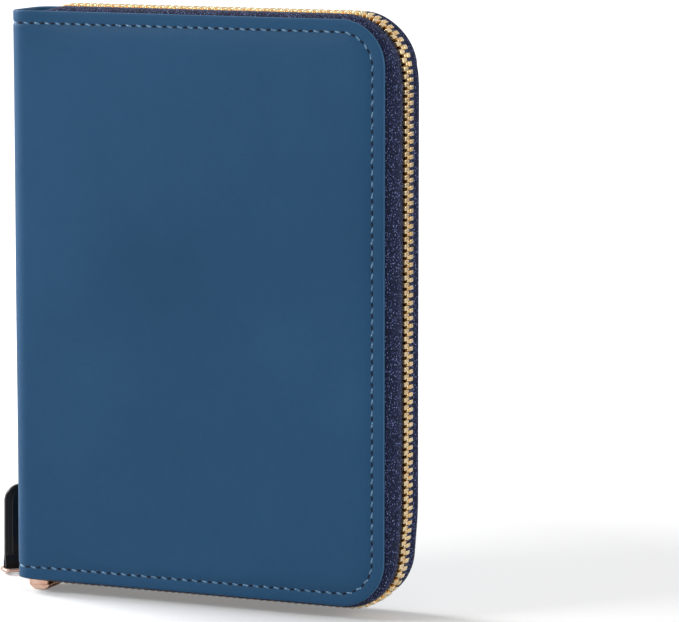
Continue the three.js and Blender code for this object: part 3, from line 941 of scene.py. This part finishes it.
@dataclass
class ZipTape:
    """One woven tape from under the cover's border to the teeth, with the cord that they grip."""

    form: CaseForm
    side: Side
    thickness: float = 0.6 * MM
    # Usual width of one side of a narrow metal zip
    cut_width: float = 12 * MM
    lap: float = 6 * MM
    under: float = 0.05 * MM
    rise: float = 0.55 * MM
    inner: float = 3.06 * MM
    slider_edge: float = 4.6 * MM
    cord_radius: float = 0.62 * MM
    cord_offset: float = 0.35 * MM
    step: float = 2.0 * MM
    arc_steps: int = 26
    side_arch: float = 1.25 * MM
    top_arch: float = 0.8 * MM
    bottom_arch: float = 0.2 * MM

    def stations(self) -> list[float]:
        """Places of the sections along the zip's run."""
        legs = [0.0, *self.form.run_legs()]
        found: list[float] = []
        for index, (low, high) in enumerate(zip(legs, legs[1:])):
            count = self.arc_steps if index in (1, 3) else round((high - low) / self.step)
            found += list(np.linspace(low, high, count, endpoint=False))
        return [*found, legs[-1]]

    def line(self) -> list[Knot]:
        """The tape's middle line, from under the border to the teeth, as a smooth curve.

        Returns:
            Distance from the zip's plane, height, and shares of dip, arch and swell.
        """
        lap = self.form.sheet_half - self.under - self.thickness / 2
        knots = np.array(
            [
                (lap, -self.lap, 0, 0, 0),
                (lap, -1.6 * MM, 0, 0, 0),
                (lap - 0.25 * MM, -0.5 * MM, 0, 0.4, 0.3),
                (lap - 0.95 * MM, self.rise / 3, 0.5, 1, 0.8),
                (lap - 2.2 * MM, self.rise, 1, 1, 1),
                (self.slider_edge, self.rise, 1, 0.35, 1),
                (self.inner, self.rise, 1, 0, 1),
            ]
        )
        padded = np.vstack([2 * knots[0] - knots[1], knots, 2 * knots[-1] - knots[-2]])
        found = []
        for a, b, c, d in zip(padded, padded[1:], padded[2:], padded[3:]):
            for t in np.linspace(0, 1, 5, endpoint=False):
                square, cube = (2 * a - 5 * b + 4 * c - d) * t**2, (3 * b - a - 3 * c + d) * t**3
                found.append(0.5 * (2 * b + (c - a) * t + square + cube))
        return [tuple(map(float, p)) for p in [*found, knots[-1]]]

    def arch_at(self, s: float) -> float:
        """How far the tape bulges between the cover and the teeth."""
        side = self.form.side_share(s, self.form.tape_delays)
        flat_arch = self.top_arch if s < self.form.run_legs()[1] else self.bottom_arch
        return side * self.side_arch + (1 - side) * flat_arch

    def swept(self, name: str, outline: list[Knot]) -> Piece:
        """Sweeps a closed outline along the zip's run.

        Args:
            name: the piece's name.
            outline: distance from the zip's plane, height, and shares of dip, arch and swell.

        Returns:
            The piece.
        """
        points = []
        for s in self.stations():
            arch, swell = self.arch_at(s), self.form.chain_rise(s)
            for across, height, dip, arched, swelled in outline:
                out = height + arched * arch + swelled * swell
                points.append(self.form.run_point(s, out, self.side.value * across, dip))
        faces = solid_faces(len(points) // len(outline), len(outline))
        return mesh_piece(name, points, faces, Look.TAPE.material)

    def build(self) -> None:
        """Builds the tape and its cord."""
        line = self.line()
        half = self.thickness / 2
        there, back = [], []
        for i, (across, height, *shares) in enumerate(line):
            before, after = line[max(0, i - 1)], line[min(len(line) - 1, i + 1)]
            way = Vector((after[0] - before[0], after[1] - before[1])).normalized()
            there.append((across - way.y * half, height + way.x * half, *shares))
            back.append((across + way.y * half, height - way.x * half, *shares))
        label = self.side.label
        tape = self.swept(f"{label}_zip_tape", [*there, *reversed(back)])
        middle = (self.inner - self.cord_offset, self.rise)
        cord = [(y, z, 1, 0, 1) for y, z in circle(self.cord_radius, 12, middle)]
        finish_piece(self.swept(f"{label}_tape_cord", cord), "case", "navy_tape")
        finish_piece(tape, "case", "navy_tape", f"{label}_tape")
        self.form.run_legs()[-1]


@dataclass
class ToothRow:
    """One row of metal teeth, each a bevelled leg that grips the cord and a narrower head."""

    form: CaseForm
    side: Side
    pitch: float = 1.96 * MM
    first: float = 0.2 * MM
    leg_length: float = 1.14 * MM
    leg_near: float = 0.7 * MM
    leg_far: float = 2.75 * MM
    crown: float = 2.0 * MM
    root: float = -0.6 * MM
    head_length: float = 0.86 * MM
    head_past: float = 0.5 * MM
    head_drop: float = 0.22 * MM
    head_overlap: float = 0.2 * MM
    bevel: float = 0.2 * MM
    uneven: float = 0.02 * MM
    seed: int = 11

    def template(self) -> bpy.types.Mesh:
        """One tooth, with X along the run, Y across it from the middle and Z outward."""
        head = (-self.head_past, self.leg_near + self.head_overlap, self.crown - self.head_drop)
        blocks = (
            ("leg", self.leg_length / 2, self.leg_near, self.leg_far, self.crown),
            ("head", self.head_length / 2, *head),
        )
        parts = []
        for name, half, near, far, top in blocks:
            outline = [(-half, near), (half, near), (half, far), (-half, far)]
            part = prism(f"tooth_{name}", outline, self.root, top, Look.GOLD, Matrix.Identity(4))
            parts.append(softened(part, self.bevel))
        whole = joined("tooth", parts)
        mesh = whole.data
        bpy.data.objects.remove(whole)
        return mesh

    def build(self) -> None:
        """Places a tooth at each pitch of the run and joins the row."""
        mesh = self.template()
        base = np.array([v.co for v in mesh.vertices])
        shape = [tuple(p.vertices) for p in mesh.polygons]
        phase = self.first + (self.pitch / 2 if self.side is Side.BACK else 0.0)
        length = self.form.run_legs()[-1]
        draw = random.Random(self.seed + self.side.value)
        points: list[Point] = []
        faces: list[Face] = []
        for i in range(math.floor((length - phase) / self.pitch)):
            middle = phase + (i + 0.5) * self.pitch
            start = len(points)
            lean = draw.uniform(-self.uneven, self.uneven)
            for x, y, z in base:
                s = min(length, max(0.0, middle + x + lean))
                out = z + self.form.chain_rise(s)
                points.append(self.form.run_point(s, out, self.side.value * y))
            faces += [tuple(start + k for k in face) for face in shape]
        bpy.data.meshes.remove(mesh)
        label = self.side.label
        row = mesh_piece(f"{label}_tooth_row", points, faces, Look.GOLD.material)
        finish_piece(row, "case", "gold_metal", f"{label}_teeth")


PULL_JOINT = next(j for j in frame["joints"] if j["name"] == "pull_swing")
STRAP_JOINT = next(j for j in frame["joints"] if j["name"] == "strap_swing")


def pull_frame() -> Matrix:
    """The pull's own frame: origin at the pin, X along the pull, Z up."""
    axis = Vector(PULL_JOINT["axis"]).normalized()
    ahead = axis.cross(Vector((0, 0, 1)))
    turn = Matrix((ahead, axis, (0, 0, 1))).transposed().to_4x4()
    return Matrix.Translation(PULL_JOINT["pos_m"]) @ turn


@dataclass
class ZipSlider:
    """The slider: a boat-shaped outer shell, an inner plate, a post, flanges, lugs and a pin."""

    form: CaseForm
    start: float = 1.1 * MM
    end: float = 8.1 * MM
    taper_length: float = 3.6 * MM
    nose_share: float = 0.6
    half_width: float = 4.3 * MM
    shell_top: float = -2.3 * MM
    shell_low: float = -3.9 * MM
    inner_start: float = 3.75 * MM
    inner_low: float = 0.9 * MM
    plate: float = 1.0 * MM
    flange: float = 0.95 * MM
    post: Pair = (4.2 * MM, 5.3 * MM)
    post_half: float = 0.8 * MM
    flange_end: float = 0.6 * MM
    outer_flange: Pair = (-2.6 * MM, -1.15 * MM)
    inner_flange_low: float = 0.05 * MM
    pin_radius: float = 0.4 * MM
    pin_past: float = 0.12 * MM
    eye_half: float = 1.1 * MM
    lug: float = 0.6 * MM
    lug_radius: float = 0.62 * MM
    lug_root: Pair = (-2.3 * MM, 0.5 * MM)

    def boat(self) -> Piece:
        """The outer shell, rounded up at its nose and tail, with raised sides."""
        low, top, start, end = self.shell_low, self.shell_top, self.start, self.end
        keel = [
            (start, top), (start + 0.05 * MM, top - 0.5 * MM), (start + 0.6 * MM, top - 1.0 * MM),
            (start + 1.5 * MM, low + 0.25 * MM), (start + 2.4 * MM, low), (end - 1.9 * MM, low),
            (end - 1.0 * MM, low + 0.25 * MM), (end - 0.3 * MM, top - 0.8 * MM),
            (end, top - 0.3 * MM), (end, top),
        ]
        place = upright(Matrix.Translation(self.form.world(0, 0, 0)))
        shell = prism("slider_shell", keel, -self.half_width, self.half_width, Look.ROSE, place)
        softened(shell, 0.55 * MM, 4, 50.0)
        nose = self.form.world(start, 0, 0)
        for vertex in shell.data.vertices:
            past = min(1.0, (vertex.co.x - nose[0]) / self.taper_length)
            narrow = self.nose_share + (1 - self.nose_share) * math.sin(past * QUARTER)
            vertex.co.y = nose[1] + (vertex.co.y - nose[1]) * narrow
        return shell

    def block(self, name: str, low: Point, high: Point, bevel: float) -> Piece:
        """A bevelled block between two corners, counted from the covers' lower corner."""
        place = Matrix.Translation(self.form.world(0, 0, 0))
        outline = rounded_outline(low[:2], high[:2], min(0.25 * MM, (high[1] - low[1]) / 3), 3)
        return softened(prism(name, outline, low[2], high[2], Look.ROSE, place), bevel, 2)

    def flanges(self) -> list[Piece]:
        """The raised rims that guide the tapes, two on each plate."""
        half, end = self.half_width, self.end - self.flange_end
        low, high = self.outer_flange
        inner_high = self.inner_low + 0.2 * MM
        parts = []
        for index, sign in enumerate((-1, 1)):
            near, far = sorted((sign * (half - self.flange), sign * half))
            parts += [
                self.block(f"outer_flange_{index}", (self.start + 0.9 * MM, near, low),
                           (end, far, high), 0.25 * MM),
                self.block(f"inner_flange_{index}",
                           (self.inner_start + 0.5 * MM, near, self.inner_flange_low),
                           (end, far, inner_high), 0.2 * MM),
            ]
        return parts

    def lugs(self) -> list[Piece]:
        """The two ears and the pin that carry the pull's eye."""
        place = upright(pull_frame())
        radius, (root, root_half) = self.lug_radius, self.lug_root
        bow = arc(radius, 0.3 - QUARTER, QUARTER - 0.3, 7)
        outline = [(root, -root_half), (0.0, -radius), *bow, (0.0, radius), (root, root_half)]
        parts = []
        for index, sign in enumerate((-1, 1)):
            near, far = sorted((sign * self.eye_half, sign * (self.eye_half + self.lug)))
            ear = prism(f"slider_ear_{index}", outline, -far, -near, Look.ROSE, place)
            parts.append(softened(ear, 0.14 * MM, 2))
        reach = self.eye_half + self.lug + self.pin_past
        pin = prism("slider_pin", circle(self.pin_radius, 20), -reach, reach, Look.ROSE, place)
        return [*parts, softened(pin, 0.1 * MM, 2)]

    def build(self) -> None:
        """Builds the slider from its parts."""
        half, seat = self.half_width, 0.1 * MM
        parts = [
            self.boat(),
            self.block("inner_plate", (self.inner_start, -half, self.inner_low),
                       (self.end, half, self.inner_low + self.plate), 0.3 * MM),
            self.block("slider_post", (self.post[0], -self.post_half, self.shell_top - seat),
                       (self.post[1], self.post_half, self.inner_low + seat), 0.15 * MM),
        ]
        piece = joined("zip_slider", [*parts, *self.flanges(), *self.lugs()])
        finish_piece(piece, "slider", "rose_metal", "slider")


@dataclass
class ZipPull:
    """The metal pull: an eye on the pin, a flat tongue and a round-cornered ring for the strap."""

    eye_radius: float = 0.9 * MM
    bore: float = 0.55 * MM
    eye_half: float = 0.95 * MM
    thickness: float = 0.9 * MM
    tongue_half: float = 2.2 * MM
    tongue_start: float = 1.7 * MM
    ring_start: float = 10 * MM
    bar: float = 1.3 * MM
    slot: float = 3.0 * MM
    ring_half: float = 6 * MM
    ring_rise: float = 0.52 * MM
    ring_corner: float = 1.1 * MM
    rod: float = 0.43 * MM

    def eye(self) -> Piece:
        """The rolled eye round the slider's pin."""
        place = upright(pull_frame())
        steps, half = 24, self.eye_half
        rims = ((self.eye_radius, -half), (self.eye_radius, half), (self.bore, half),
                (self.bore, -half))
        points = [place @ Vector((*p, y)) for radius, y in rims for p in circle(radius, steps)]
        faces = ring_faces(len(rims), steps, closed=True)
        return softened(mesh_piece("pull_eye", points, faces, Look.ROSE.material), 0.12 * MM, 2, 60.0)

    def tongue(self) -> Piece:
        """The flat tongue, waisted at the eye."""
        half, wide, start = self.eye_half, self.tongue_half, self.tongue_start
        upper = [(0.6 * MM, half), (start - 0.3 * MM, half), (start + 0.6 * MM, wide - 0.25 * MM),
                 (start + 1.6 * MM, wide), (self.ring_start + 0.3 * MM, wide)]
        outline = [(x, -y) for x, y in upper] + upper[::-1]
        thick = self.thickness / 2
        return softened(prism("pull_tongue", outline, -thick, thick, Look.ROSE, pull_frame()),
                        0.22 * MM)

    def ring(self) -> Piece:
        """The ring, oval in section on three sides and a round rod where the strap turns."""
        half = self.bar / 2
        low = (self.ring_start + half, -self.ring_half + half)
        high = (self.ring_start + 3 * half + self.slot, self.ring_half - half)
        path = rounded_outline(low, high, self.ring_corner)
        sides, count = 12, len(path)
        points: list[Vector] = []
        for i, (x, y) in enumerate(path):
            before, after = path[i - 1], path[(i + 1) % count]
            way = Vector((after[0] - before[0], after[1] - before[1])).normalized()
            far = max(0.0, way.y) ** 2
            wide = half + (self.rod - half) * far
            rise = self.ring_rise + (self.rod - self.ring_rise) * far
            for a, b in circle(1.0, sides):
                at = (x + way.y * wide * a, y - way.x * wide * a, rise * b)
                points.append(pull_frame() @ Vector(at))
        faces = ring_faces(count, sides, closed=True)
        return mesh_piece("pull_ring", points, faces, Look.ROSE.material)

    def build(self) -> None:
        """Builds the pull from its parts."""
        piece = joined("zip_pull", [self.eye(), self.tongue(), self.ring()])
        finish_piece(piece, "pull", "rose_metal", "pull")


@dataclass
class PullStrap:
    """The black leather strap: two plies folded round the ring's rod, with creased borders."""

    rod: float
    half_width: float = 4.5 * MM
    ply: float = 0.62 * MM
    length: float = 23 * MM
    join_height: float = 3.0 * MM
    clear: float = 0.15 * MM
    flare: float = 0.35 * MM
    neck: float = 0.66 * MM
    slit: float = 0.06 * MM
    lean: float = 2.0
    side_rows: int = 6
    # Distance in from the cut edge and height over the join of the plies, in millimetres
    profile: tuple[Pair, ...] = (
        (0.0, 0.0), (0.0, 0.35), (0.1, 0.55), (0.3, 0.66), (0.6, 0.62), (0.8, 0.42), (1.0, 0.58),
        (1.5, 0.62), (1.7, 0.42), (1.9, 0.58), (2.4, 0.64), (3.2, 0.66),
    )

    def place(self) -> Matrix:
        """The strap's own frame: origin at the rod, X outward, Y along the rod, Z up the strap."""
        turn = pull_frame().to_3x3().to_4x4()
        lean = Matrix.Rotation(math.radians(-self.lean), 4, "Y")
        return Matrix.Translation(STRAP_JOINT["pos_m"]) @ turn @ lean

    def ply_piece(self, index: int, sign: int) -> Piece:
        """One ply over the fold, with a round end, a rounded rim and two creased border lines.

        Args:
            index: number in the piece's name.
            sign: -1 for the ply next to the covers, 1 for the other.

        Returns:
            The ply.
        """
        low, top = self.join_height * 0.75, self.length - self.half_width
        side = [low + (top - low) * i / self.side_rows for i in range(self.side_rows)]
        points: list[Vector] = []
        for inset, height in self.profile:
            reach = self.half_width - inset * MM
            ring = arc(reach, 0, math.pi, 20, (0.0, top))
            ring += [(-reach, z) for z in reversed(side)] + [(reach, z) for z in side]
            for y, z in ring:
                flare = max(0.0, 1 - z / (self.join_height * 1.6)) ** 2 * self.flare
                points.append(self.place() @ Vector((sign * (height * MM + flare), y, z)))
        faces = solid_faces(len(self.profile), len(ring))
        return mesh_piece(f"strap_ply_{index}", points, faces, Look.STRAP.material)

    def fold(self) -> Piece:
        """The round fold over the ring's rod, up to where the plies meet."""
        join = self.join_height
        hole = self.rod + self.clear
        lines = []
        for radius, neck, top, waist in (
            (hole + self.ply, self.neck, join + 0.6 * MM, 0.55), (hole, self.slit, join, 0.45)
        ):
            right = [(neck, top), (radius * 0.9, join * waist)]
            left = [(-x, z) for x, z in reversed(right)]
            lines.append([*right, *arc(radius, 0, -math.pi, 15), *left])
        outline = lines[0] + lines[1][::-1]
        half, place = self.half_width, upright(self.place())
        return softened(prism("strap_fold", outline, -half, half, Look.STRAP, place), 0.15 * MM, 2, 60.0)

    def build(self) -> None:
        """Builds the strap from its plies and its fold."""
        piece = joined("pull_strap", [self.fold(), self.ply_piece(0, -1), self.ply_piece(1, 1)])
        finish_piece(piece, "strap", "black_leather", "strap")


@dataclass
class InnerPieces:
    """The pieces between and inside the covers, which keep their own solids."""

    lining_fold: float = 2 * MM
    foam_fill: float = 0.9
    cards: tuple[str, ...] = tuple(f"card_pocket_{i}" for i in range(1, 5))

    def dress(self) -> None:
        """Gives each inner node its finish."""
        looks = {
            Look.POCKET: [*self.cards, "slip_pocket", "passport_sleeve", "ticket_pocket"],
            Look.LINING: ["lining"],
            Look.BOARD: ["spine_board", "front_board", "back_board"],
            Look.FOAM: ["front_foam", "back_foam"],
            Look.GOLD: ["front_top_stop", "back_top_stop", "end_stop"],
        }
        for look, names in looks.items():
            for name in names:
                node = frame["nodes"][name]
                node.data.materials.clear()
                node.data.materials.append(look.material)
                LOG.info("%s: %s", name, look.value.name)


@dataclass
class Studio:
    """Plain pale floor, soft lamps and the camera at the photograph's angle."""

    azimuth: float = 23.31
    elevation: float = 7.83
    distance: float = 1.0695
    frame_width: int = 679
    focal_pixels: float = 4107.4
    aim_from_covers: Point = (6.9 * MM, 0.0, 78.9 * MM)
    offset_pixels: Pair = (122.4, 10.98)
    floor_size: float = 24.0
    sensor: float = 36.0
    ambient: float = 0.34
    mirrored: float = 0.6
    # Distances from the origin and strengths between which the floor comes up to white
    glow_reach: Pair = (0.14, 0.5)
    glow: Pair = (0.2, 1.0)
    # Name, place, size and power of each lamp
    lamps: tuple[tuple[str, Point, float, float], ...] = (
        ("key", (-0.6, -0.6, 0.62), 0.35, 4.4),
        ("right_fill", (1.2, -0.05, 0.45), 0.6, 5.5),
        ("left", (-0.85, 0.12, 0.5), 0.3, 9.0),
    )

    def camera(self) -> None:
        """Makes the scene's camera, aimed so that the wallet stands at the frame's left."""
        data = bpy.data.cameras.new("camera")
        data.sensor_width = self.sensor
        data.lens = self.focal_pixels / self.frame_width * self.sensor
        data.clip_start, data.clip_end = 0.05, 60.0
        a, e = math.radians(self.azimuth), math.radians(self.elevation)
        back = Vector((math.sin(a) * math.cos(e), -math.cos(a) * math.cos(e), math.sin(e)))
        right = Vector((math.cos(a), math.sin(a), 0))
        up = back.cross(right)
        scale = self.distance / self.focal_pixels
        aim = Vector(self.aim_from_covers) + right * self.offset_pixels[0] * scale
        aim -= up * self.offset_pixels[1] * scale
        camera = bpy.data.objects.new("camera", data)
        camera.location = aim + back * self.distance
        camera.rotation_euler = (-back).to_track_quat("-Z", "Y").to_euler()
        bpy.context.scene.collection.objects.link(camera)
        bpy.context.scene.camera = camera

    def lamp(self, name: str, place: Point, size: float, power: float) -> None:
        """Adds a soft square lamp aimed at the wallet."""
        data = bpy.data.lights.new(name, "AREA")
        data.shape = "SQUARE"
        data.size = size
        data.energy = power
        lamp = bpy.data.objects.new(name, data)
        lamp.location = place
        aim = Vector(self.aim_from_covers) - Vector(place)
        lamp.rotation_euler = aim.to_track_quat("-Z", "Y").to_euler()
        bpy.context.scene.collection.objects.link(lamp)

    def world(self) -> None:
        """Lights the scene evenly and shows white behind it."""
        world = bpy.data.worlds.new("studio")
        bpy.context.scene.world = world
        world.use_nodes = True
        board = NodeBoard(world.node_tree)
        ray = board.tree.nodes.new("ShaderNodeLightPath").outputs
        mirrored = board.math("MULTIPLY_ADD", ray["Is Glossy Ray"], self.mirrored,
                              ray["Is Transmission Ray"])
        seen = board.math("MAXIMUM", ray["Is Camera Ray"], mirrored)
        strength = board.band(seen, 0.0, 1.0, (self.ambient, 1.0))
        board.fill(board.tree.nodes["Background"], Color=(1, 1, 1, 1), Strength=strength)

    def floor(self) -> None:
        """Lays the floor, which shows white to the camera and keeps the wallet's shadow."""
        half = self.floor_size / 2
        corners = [(-half, -half, 0), (half, -half, 0), (half, half, 0), (-half, half, 0)]
        board = SurfaceBoard("pale_floor")
        board.surface(Base_Color=(0.8, 0.8, 0.8, 1), Roughness=0.9, Specular_IOR_Level=0.1)
        nodes = board.tree.nodes
        length = nodes.new("ShaderNodeVectorMath")
        length.operation = "LENGTH"
        board.put(length.inputs[0], board.coords)
        far = board.band(length.outputs["Value"], *self.glow_reach, self.glow)
        seen = board.add("ShaderNodeLightPath", "Is Camera Ray")
        strength = board.math("MULTIPLY", far, seen)
        both = nodes.new("ShaderNodeAddShader")
        board.put(both.inputs[0], board.shader.outputs["BSDF"])
        board.put(both.inputs[1], board.add("ShaderNodeEmission", "Emission", Strength=strength))
        board.put(nodes["Material Output"].inputs["Surface"], both.outputs["Shader"])
        mesh_piece("floor", corners, [(0, 1, 2, 3)], board.material, smooth=False)

    def build(self) -> None:
        """Sets up camera, world, floor and lamps."""
        self.camera()
        self.world()
        self.floor()
        for lamp in self.lamps:
            self.lamp(*lamp)
        bpy.context.scene.view_settings.view_transform = "Standard"


def main() -> None:
    """Builds the dressed wallet and its studio."""
    logging.basicConfig(level=logging.INFO, format="%(name)s: %(message)s")
    form = CaseForm()
    Studio().build()
    PaddedCover(form).build()
    CoverSeam(form).build()
    for side in Side:
        ZipTape(form, side).build()
        ToothRow(form, side).build()
    ZipSlider(form).build()
    pull = ZipPull()
    pull.build()
    PullStrap(pull.rod).build()
    inner = InnerPieces()
    inner.dress()


if __name__ == "__main__":
    main()
